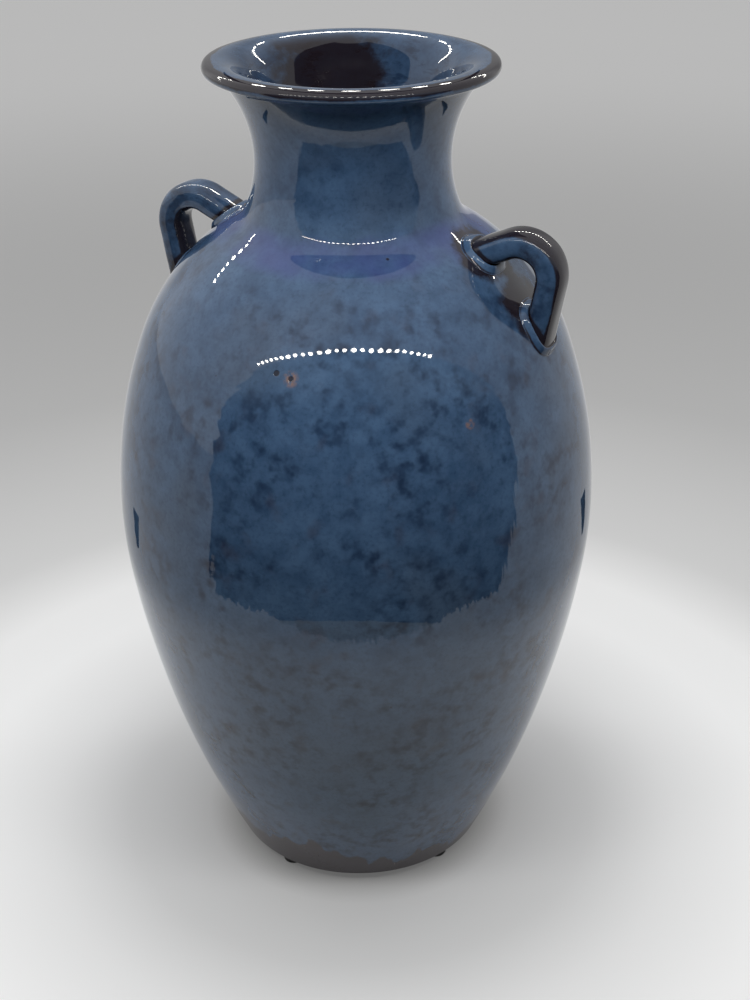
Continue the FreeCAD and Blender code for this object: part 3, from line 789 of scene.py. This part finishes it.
# The violet of the pooled glass; its limits are for the pooled share times the noise.
BLOOM = Layer(size=24, seed=9.1, detail=3.0, low=0.2, high=0.62, strength=0.5)
THIN_EDGE = Layer(size=12, seed=11.3, detail=5.0, roughness=0.62, low=0.90, high=1.25, strength=1.1)
THIN_DEPTH = 0.92
# Heights in metres: the thin glass is umber above the first, and the foot's satin brown below the second.
FOOT_TOP = (0.075, 0.060)
FOOT_SATIN = 0.16
HOLE_DEPTH = 0.85
SMOOTHEST = 0.012
GLAZE_SHINE = Layer(size=18, seed=13.1, strength=0.03)
LINER_SHINE = Layer(size=9, seed=23.1, strength=0.08)
WAVER = Layer(size=13, seed=15.3, detail=2.0, roughness=0.4)
WAVER_RELIEF = 0.10
SKIN_GRAIN = Layer(size=2.2, seed=17.9, detail=2.0)
SKIN_RELIEF = 0.004
HOLE_RELIEF = -0.12


def make_glaze():
    recipe = Recipe("blue_glaze_glass")
    colour = mottled_blue(recipe)
    pool = recipe.scaled(recipe.number("glaze_pool"), recipe.clouds(BLOOM))
    bloom = recipe.scaled(recipe.step(pool, BLOOM.low, BLOOM.high), BLOOM.strength)
    # Inside the mouth: streaks and painted shade.
    colour = mouth_stains_and_shade(recipe, recipe.mix(bloom, colour, VIOLET))
    broken = recipe.torn(recipe.number("glaze_thin"), THIN_EDGE)
    low = recipe.step(recipe.height(), *FOOT_TOP)
    colour = recipe.mix(recipe.scaled(broken, THIN_DEPTH), colour, recipe.mix(low, UMBER, FOOT_BROWN))
    colour, pits = scars(recipe, colour)
    holes = recipe.maths("MAXIMUM", pinholes(recipe), pits)
    colour = recipe.mix(recipe.scaled(holes, HOLE_DEPTH), colour, UMBER)
    satin = recipe.scaled(recipe.scaled(broken, low), FOOT_SATIN)
    roughness = recipe.maths("ADD", recipe.uneven(SMOOTHEST, GLAZE_SHINE), satin)
    normal = recipe.bump(recipe.clouds(WAVER), WAVER_RELIEF)
    normal = recipe.bump(recipe.clouds(SKIN_GRAIN), SKIN_RELIEF, normal)
    normal = recipe.bump(holes, HOLE_RELIEF, normal)
    return recipe.finish(colour, roughness, normal)


def make_liner_glaze():
    recipe = Recipe("liner_glaze_glass")
    # The mouth's painted shade covers the whole liner.
    colour = mouth_stains_and_shade(recipe, mottled_blue(recipe))
    normal = recipe.bump(recipe.clouds(WAVER), WAVER_RELIEF)
    return recipe.finish(colour, recipe.uneven(SMOOTHEST, LINER_SHINE), normal)


CLAY_BROWN = (0.165, 0.112, 0.076)
CLAY_PALE = (0.27, 0.20, 0.14)
IRON = (0.035, 0.018, 0.010)
CLAY_TONE = Layer(size=14, seed=31.1, detail=5.0, low=0.35, high=0.68)
CLAY_SPECK = Layer(size=1.3, seed=33.3, detail=2.0, roughness=0.5, low=0.66, high=0.74)
CLAY_DRYNESS = Layer(size=3, seed=35.5, strength=0.25)
CLAY_GRIT = Layer(size=0.9, seed=37.7, detail=5.0, roughness=0.7)
CLAY_ROUGHNESS = 0.68
CLAY_RELIEF = 0.25


def make_clay():
    recipe = Recipe("stoneware_clay_body")
    colour = recipe.mix(recipe.patches(CLAY_TONE), CLAY_BROWN, CLAY_PALE)
    colour = recipe.mix(recipe.patches(CLAY_SPECK), colour, IRON)
    normal = recipe.bump(recipe.clouds(CLAY_GRIT), CLAY_RELIEF)
    return recipe.finish(colour, recipe.uneven(CLAY_ROUGHNESS, CLAY_DRYNESS), normal)


RUBBER_DARK = (0.008, 0.008, 0.009)
RUBBER_WORN = (0.035, 0.034, 0.033)
RUBBER_WEAR = Layer(size=1.8, seed=41.1, detail=5.0, low=0.50, high=0.75)
RUBBER_SMEAR = Layer(size=2.5, seed=43.3, strength=0.25)
RUBBER_SKIN = Layer(size=0.5, seed=45.5, detail=3.0)
RUBBER_ROUGHNESS = 0.16
RUBBER_RELIEF = 0.03


def make_rubber():
    recipe = Recipe("bumper_rubber_black")
    colour = recipe.mix(recipe.patches(RUBBER_WEAR), RUBBER_DARK, RUBBER_WORN)
    normal = recipe.bump(recipe.clouds(RUBBER_SKIN), RUBBER_RELIEF)
    return recipe.finish(colour, recipe.uneven(RUBBER_ROUGHNESS, RUBBER_SMEAR), normal)


FILM_CLEAR = (0.42, 0.41, 0.38)
FILM_GREY = (0.22, 0.21, 0.20)
FILM_TONE = Layer(size=1.2, seed=51.1, low=0.4, high=0.7)
FILM_SMEAR = Layer(size=0.8, seed=53.3, strength=0.3)
FILM_SKIN = Layer(size=0.6, seed=55.5)
FILM_ROUGHNESS = 0.3
FILM_RELIEF = 0.04


def make_film():
    recipe = Recipe("adhesive_film_acrylic")
    colour = recipe.mix(recipe.patches(FILM_TONE), FILM_CLEAR, FILM_GREY)
    normal = recipe.bump(recipe.clouds(FILM_SKIN), FILM_RELIEF)
    return recipe.finish(colour, recipe.uneven(FILM_ROUGHNESS, FILM_SMEAR), normal)


def coat(piece, material):
    piece.data.materials.clear()
    piece.data.materials.append(material)


def coat_nodes(names, material):
    for name in names:
        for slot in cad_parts[name].material_slots:
            slot.link = "OBJECT"
            slot.material = material


# ---- stage
# In metres. The glaze mirrors a bright tent with an open front, so most of this is there to be reflected.
ROOM_TONE = (0.008, 0.010, 0.012)
WHITE = (1.0, 1.0, 1.0, 1.0)


def plain_object(name, points, faces, material):
    mesh = bpy.data.meshes.new(name)
    mesh.from_pydata(points, [], faces)
    thing = bpy.data.objects.new(name, mesh)
    bpy.context.scene.collection.objects.link(thing)
    mesh.materials.append(material)
    return thing


def only_reflected(thing):
    """Seen in the glaze and nowhere else."""
    thing.visible_camera = False
    thing.visible_diffuse = False
    thing.visible_shadow = False
    thing.visible_transmission = False


def glow_material(name, tone, strength):
    """Plain light of one tone."""
    material = bpy.data.materials.new(name)
    material.use_nodes = True
    tree = material.node_tree
    tree.nodes.clear()
    light = add_node(tree, "ShaderNodeEmission", {"Color": (*tone, 1.0), "Strength": strength})
    add_node(tree, "ShaderNodeOutputMaterial", {"Surface": light.outputs[0]})
    return material


def directions(tree, space):
    """The outputs X, Y and Z of a place or, in a world, of a direction."""
    place = add_node(tree, "ShaderNodeTexCoord")
    return add_node(tree, "ShaderNodeSeparateXYZ", {0: place.outputs[space]}).outputs


FLOOR_RADIUS = 6.0
FLOOR_SIDES = 96
# The paper's tone by distance from the axis, with painted shadow round the pot's foot and painted light in
# rings further out; its warmth; and how the ramp's places crowd near the pot.
PAINTED_FLOOR_LIGHT_RINGS = ((0.00, 0.16), (0.056, 0.18), (0.072, 0.46), (0.11, 0.51), (0.15, 0.68), (0.20, 0.79),
               (0.245, 0.76), (0.30, 0.54), (0.50, 0.42), (1.00, 0.50), (1.80, 0.60), (6.00, 0.60))
PAPER_WARMTH = 0.995
RING_POWER = 0.4
PAPER_ROUGHNESS = 0.9
PAPER_SHEEN = 0.1
# Painted light: a faint glow on the paper, from the first distance and tone to the second.
PAINTED_GLOW_RINGS = ((0.50, 0.12), (1.60, 0.31))
# All but the camera see the tent's wall in place of the floor, more and more between these distances.
WALL_REACH = (0.30, 0.42)
WALL_GLOW = (0.62, 0.62, 0.62)
# The mat's front edge is at MAT_MIDDLE, bends back at the sides as far as MAT_SIDE, and beyond MAT_STRAIGHT
# slopes forward again.
MAT_MIDDLE = -0.305
MAT_BEND = 12.0
MAT_SIDE = -0.195
MAT_STRAIGHT = 0.35
MAT_SLOPE_LEFT = 0.41
MAT_SLOPE_RIGHT = 0.17
MAT_RIPPLE = Layer(size=40, seed=61.1, detail=5.0, roughness=0.65, strength=0.04)
MAT_TEAR_SCALE = 40.0
MAT_TEAR_DETAIL = 3.0
MAT_TEAR = 0.24
# Painted shade: for scattered light the dark room begins this much nearer the pot, which darkens the pot's
# lower belly.
FRONT_SHADE = 0.16
# The table's edge is at TABLE_MIDDLE and bends back at the sides.
TABLE_MIDDLE = -0.345
TABLE_BEND = 2.6
TABLE_TONE = (0.34, 0.31, 0.20)


def paper_tone_and_painted_light(recipe, reach):
    """The floor's tone by distance from the pot's axis: painted shadow round the foot, painted light in rings
    beyond.
    """
    share = recipe.maths("DIVIDE", reach, FLOOR_RADIUS)
    ramp = recipe.add("ShaderNodeValToRGB", {"Fac": recipe.maths("POWER", share, RING_POWER)})
    stops = ramp.color_ramp.elements
    while len(stops) < len(PAINTED_FLOOR_LIGHT_RINGS):
        stops.new(0.5)
    for stop, (radius, tone) in zip(stops, PAINTED_FLOOR_LIGHT_RINGS):
        stop.position = (radius / FLOOR_RADIUS) ** RING_POWER
        stop.color = (tone, tone, tone * PAPER_WARMTH, 1.0)
    return ramp.outputs["Color"]


def mat_edge(recipe, across, reach):
    """How far along Y the mat's torn front edge is, for each place across."""
    squared = recipe.scaled(across, across)
    edge = recipe.maths("ADD", recipe.scaled(recipe.scaled(squared, squared), MAT_BEND), MAT_MIDDLE)
    edge = recipe.maths("MINIMUM", edge, MAT_SIDE)
    bearing = recipe.add("ShaderNodeVectorMath", {0: recipe.place}, operation="NORMALIZE")
    feeds = {"Vector": bearing.outputs[0], "Scale": MAT_TEAR_SCALE, "Detail": MAT_TEAR_DETAIL}
    tear = recipe.add("ShaderNodeTexNoise", feeds)
    torn = recipe.scaled(recipe.scaled(recipe.maths("SUBTRACT", tear.outputs[0], 0.5), MAT_TEAR), reach)
    ripple = recipe.scaled(recipe.clouds(MAT_RIPPLE), MAT_RIPPLE.strength)
    edge = recipe.maths("ADD", edge, recipe.maths("ADD", ripple, torn))
    beyond_left = recipe.maths("MINIMUM", recipe.maths("ADD", across, MAT_STRAIGHT), 0.0)
    beyond_right = recipe.maths("MAXIMUM", recipe.maths("SUBTRACT", across, MAT_STRAIGHT), 0.0)
    edge = recipe.maths("ADD", edge, recipe.scaled(beyond_left, MAT_SLOPE_LEFT))
    return recipe.maths("SUBTRACT", edge, recipe.scaled(beyond_right, MAT_SLOPE_RIGHT))


def make_floor_material():
    """A pale floor. Reflections see a mat, a table edge and the dark room ahead, and the tent's walls."""
    recipe = Recipe("floor_paper")
    across, ahead, _ = directions(recipe.tree, "Object")
    reach = recipe.add("ShaderNodeVectorMath", {0: recipe.place}, operation="LENGTH").outputs["Value"]
    path = recipe.add("ShaderNodeLightPath").outputs
    # Painted light: the paper glows faintly for all but scattered rays, more with distance.
    (near, near_tone), (far, far_tone) = PAINTED_GLOW_RINGS
    painted_glow = smooth_ramp(recipe.tree, reach, near, far, near_tone, far_tone)
    lit = recipe.maths("SUBTRACT", 1.0, path["Is Diffuse Ray"])
    wire(recipe.surface, {"Base Color": paper_tone_and_painted_light(recipe, reach), "Roughness": PAPER_ROUGHNESS,
                          "Specular IOR Level": PAPER_SHEEN, "Emission Color": WHITE,
                          "Emission Strength": recipe.scaled(painted_glow, lit)})
    # Painted shade: scattered rays meet the dark room nearer the pot.
    shade = recipe.scaled(path["Is Diffuse Ray"], FRONT_SHADE)
    edge = recipe.maths("ADD", mat_edge(recipe, across, reach), shade)
    off_mat = recipe.maths("LESS_THAN", ahead, edge)
    table_edge = recipe.maths("ADD", recipe.scaled(recipe.scaled(across, across), TABLE_BEND), TABLE_MIDDLE)
    off_table = recipe.maths("LESS_THAN", ahead, table_edge)
    walls = recipe.step(reach, *WALL_REACH)
    not_seen = recipe.maths("SUBTRACT", 1.0, path["Is Camera Ray"])
    outside = recipe.mix(off_table, TABLE_TONE, ROOM_TONE)
    around = recipe.add("ShaderNodeEmission", {"Color": recipe.mix(off_mat, WALL_GLOW, outside)})
    hidden = recipe.scaled(recipe.maths("MAXIMUM", off_mat, walls), not_seen)
    feeds = {0: hidden, 1: recipe.surface.outputs[0], 2: around.outputs[0]}
    choice = recipe.add("ShaderNodeMixShader", feeds)
    wire(recipe.tree.nodes["Material Output"], {"Surface": choice.outputs[0]})
    return recipe.material


def make_floor():
    rim = []
    for corner in range(FLOOR_SIDES):
        angle = math.tau * corner / FLOOR_SIDES
        rim.append((FLOOR_RADIUS * math.cos(angle), FLOOR_RADIUS * math.sin(angle), 0))
    faces = [(FLOOR_SIDES, corner, (corner + 1) % FLOOR_SIDES) for corner in range(FLOOR_SIDES)]
    plain_object("stage_floor", rim + [(0, 0, 0)], faces, make_floor_material())


# The tent's open front stands at MOUTH_Y, with these corners across and up. Each side of it is cut into
# MOUTH_PIECES and torn by up to a share of the distance across. Between the heights MOUTH_GLOW_Z it grows
# brighter, up to MOUTH_GLOW times the room's tone.
MOUTH_Y = -0.34
MOUTH_EDGE = ((-0.66, 0.001), (1.60, 0.001), (1.62, 0.12), (1.45, 0.30), (1.05, 0.45), (0.68, 0.565),
              (0.0, 0.60), (-0.44, 0.556), (-0.68, 0.407), (-0.84, 0.242), (-0.80, 0.12))
MOUTH_TEAR = 0.22
MOUTH_TEAR_SIZE = 0.035
MOUTH_PIECES = 14
MOUTH_SEED = 0.5
MOUTH_GLOW_Z = (0.29, 0.48)
MOUTH_GLOW = 50.0


def make_tent_mouth():
    """The dark room beyond the open front of the light tent."""
    corners = []
    for (x, z), (next_x, next_z) in zip(MOUTH_EDGE, MOUTH_EDGE[1:] + MOUTH_EDGE[:1]):
        for step in range(MOUTH_PIECES):
            share = step / MOUTH_PIECES
            here = point(x + (next_x - x) * share, z + (next_z - z) * share)
            tear = 1 + MOUTH_TEAR * noise.noise(Vector((*here, MOUTH_SEED)) / MOUTH_TEAR_SIZE)
            corners.append((here.x * tear, MOUTH_Y, here.y))
    room = glow_material("dark_room", ROOM_TONE, 1.0)
    tree = room.node_tree
    rising = smooth_ramp(tree, directions(tree, "Object")["Z"], *MOUTH_GLOW_Z, 1.0, MOUTH_GLOW)
    wire(tree.nodes["Emission"], {"Strength": rising})
    only_reflected(plain_object("stage_tent_mouth", corners, [tuple(range(len(corners)))], room))


# The two ends of each fold's painted shadow on the floor, and its width at them.
FOLD_SHADOWS = (((-0.384, 0.202), (-0.300, 0.156)), ((0.350, 0.256), (0.265, 0.200)))
FOLD_SHADOW_WIDTH = (0.055, 0.014)
FOLD_SHADOW_LIFT = 0.001


def make_fold_shadows():
    """Painted shadows of two short folds in the paper behind the pot, seen only in reflections as dark slits
    near its sides.
    """
    points = []
    for ends in FOLD_SHADOWS:
        way = (point(*ends[1]) - point(*ends[0])).normalized()
        for (x, y), width in zip(ends, FOLD_SHADOW_WIDTH):
            for side in (-width / 2, width / 2):
                points.append((x - way.y * side, y + way.x * side, FOLD_SHADOW_LIFT))
    fold = glow_material("painted_fold_shadow", ROOM_TONE, 1.0)
    only_reflected(plain_object("stage_fold_shadows", points, [(0, 1, 3, 2), (4, 5, 7, 6)], fold))


# A dark card of painted shade hangs above the lip's front: its radius, half of its turn, and its two heights.
SHADE_CARD_RADIUS = 0.050
SHADE_CARD_HALF = math.radians(100)
SHADE_CARD_STEPS = 24
SHADE_CARD_Z = (0.364, 0.720)


def make_mouth_shade_card():
    """A dark card curved about the front of the mouth, seen only in reflections: painted shade inside the
    mouth.
    """
    points = []
    for step in range(SHADE_CARD_STEPS + 1):
        angle = SHADE_CARD_HALF * (2 * step / SHADE_CARD_STEPS - 1) - math.pi / 2
        points += [(SHADE_CARD_RADIUS * math.cos(angle), SHADE_CARD_RADIUS * math.sin(angle), z) for z in SHADE_CARD_Z]
    faces = [(2 * k, 2 * k + 2, 2 * k + 3, 2 * k + 1) for k in range(SHADE_CARD_STEPS)]
    card = glow_material("painted_mouth_shade", ROOM_TONE, 1.0)
    only_reflected(plain_object("stage_mouth_shade", points, faces, card))


LED_Z = 0.54
LED_R = 0.0085
LED_SIDES = 10
LED_TONE = (1.0, 0.97, 0.90)
LED_GLOW = 55.0
# Each row of lamps: how many, its left and right ends, and its place along Y.
FRONT_ROW = (25, -0.417, 0.288, -0.30)
BACK_ROW = (31, -0.45, 0.45, 0.25)
# The soft light of each strip: its length, and its place along Y.
FRONT_STRIP = (0.8, -0.28)
BACK_STRIP = (1.2, 0.25)
STRIP_WIDTH = 0.12
STRIP_LIFT = 0.02
STRIP_POWER = 2.5


def make_leds(name, count, left, right, ahead, material):
    """A strip of small lamps seen as a row of dots in the glaze."""
    points = []
    faces = []
    for lamp in range(count):
        middle = left + (right - left) * lamp / (count - 1)
        faces.append(tuple(range(len(points), len(points) + LED_SIDES)))
        for corner in range(LED_SIDES):
            angle = math.tau * corner / LED_SIDES
            points.append((middle + LED_R * math.cos(angle), ahead + LED_R * math.sin(angle), LED_Z))
    only_reflected(plain_object(name, points, faces, material))


def add_strip_light(name, length, ahead):
    """The soft light of one strip, which casts the shadows."""
    lamp = bpy.data.lights.new(name, "AREA")
    lamp.shape = "RECTANGLE"
    lamp.size = length
    lamp.size_y = STRIP_WIDTH
    lamp.energy = STRIP_POWER
    thing = bpy.data.objects.new(name, lamp)
    thing.location = (0, ahead, LED_Z + STRIP_LIFT)
    thing.visible_glossy = False
    thing.visible_camera = False
    bpy.context.scene.collection.objects.link(thing)


# Strengths of the tent's light, as seen in the glaze, as it lights the pot, and as the camera's backdrop.
TENT_GLOW = 0.80
SKY_DIFFUSE = 0.34
BACKDROP = 0.49
# The pot is lit from directions whose Y is above FRONT_RIM, and from none below FRONT_CORE.
FRONT_CORE = -0.75
FRONT_RIM = -0.25
LEFT_LEAN = 0.25
BACK_EDGE = (0.70, 0.90)
BACK_DULL = 0.5


def left_lean(tree):
    """A factor by direction: the left side of the tent is the brighter one, and its back the duller."""
    way = directions(tree, "Generated")
    dull = smooth_ramp(tree, way["Y"], *BACK_EDGE, 1.0, BACK_DULL)
    feeds = {0: way["X"], 1: -LEFT_LEAN, 2: dull}
    return add_node(tree, "ShaderNodeMath", feeds, operation="MULTIPLY_ADD").outputs[0]


def make_world():
    """Bright tent walls for light and reflections, a calm grey for the camera."""
    world = bpy.data.worlds.new("tent")
    bpy.context.scene.world = world
    world.use_nodes = True
    tree = world.node_tree
    path = add_node(tree, "ShaderNodeLightPath").outputs
    lit = smooth_ramp(tree, directions(tree, "Generated")["Y"], FRONT_CORE, FRONT_RIM, 0.0, SKY_DIFFUSE)
    tent = add_node(tree, "ShaderNodeMix", {"Factor": path["Is Glossy Ray"], "A": lit, "B": TENT_GLOW})
    feeds = {0: tent.outputs[0], 1: left_lean(tree)}
    leaning = add_node(tree, "ShaderNodeMath", feeds, operation="MULTIPLY")
    feeds = {"Factor": path["Is Camera Ray"], "A": leaning.outputs[0], "B": BACKDROP}
    seen = add_node(tree, "ShaderNodeMix", feeds)
    wire(tree.nodes["Background"], {"Color": WHITE, "Strength": seen.outputs[0]})


# The place in metres, the lens and its sensor in millimetres, and the turns in radians.
CAMERA_PLACE = (0.0, -0.5860, 0.4831)
CAMERA_LENS = 54.8
CAMERA_SENSOR = 36.0
CAMERA_NEAR = 0.01
CAMERA_PITCH = math.radians(28.46)
CAMERA_YAW = 0.0135
CAMERA_ROLL = -0.0058


def make_camera():
    lens = bpy.data.cameras.new("camera")
    lens.lens = CAMERA_LENS
    lens.sensor_width = CAMERA_SENSOR
    lens.clip_start = CAMERA_NEAR
    camera = bpy.data.objects.new("camera", lens)
    bpy.context.scene.collection.objects.link(camera)
    aim = Matrix.Rotation(-CAMERA_YAW, 4, "Z") @ Matrix.Rotation(math.pi / 2 - CAMERA_PITCH, 4, "X")
    camera.matrix_world = Matrix.Translation(CAMERA_PLACE) @ aim @ Matrix.Rotation(CAMERA_ROLL, 4, "Z")
    bpy.context.scene.camera = camera


# ---- put it together
glaze = make_glaze()
right_skin, right_roots = make_handle_skin("handle_skin_right", "handle_right", FACE_THIN)
left_skin, _ = make_handle_skin("handle_skin_left", "handle_left", SIDE_THIN)
stains = (right_roots[0], right_roots[1].lerp(right_roots[0], STAIN_SHIFT))
for skin in (make_glaze_skin(stains), right_skin, left_skin):
    coat(skin, glaze)
coat(make_liner_skin(), make_liner_glaze())
coat_nodes(("body", "neck", "handle_left", "handle_right", "handle_coils"), make_clay())
coat_nodes(("foot_pads",), make_rubber())
coat_nodes(("pad_adhesive",), make_film())

make_floor()
make_tent_mouth()
led_light = glow_material("led_light", LED_TONE, LED_GLOW)
make_leds("stage_leds_front", *FRONT_ROW, led_light)
make_leds("stage_leds_back", *BACK_ROW, led_light)
# Painted shade inside the mouth, seen only in reflections.
make_mouth_shade_card()
# Painted shadows of folds in the paper, seen only in reflections.
make_fold_shadows()
add_strip_light("strip_front", *FRONT_STRIP)
add_strip_light("strip_back", *BACK_STRIP)
make_world()
make_camera()
bpy.context.scene.view_settings.view_transform = "Standard"
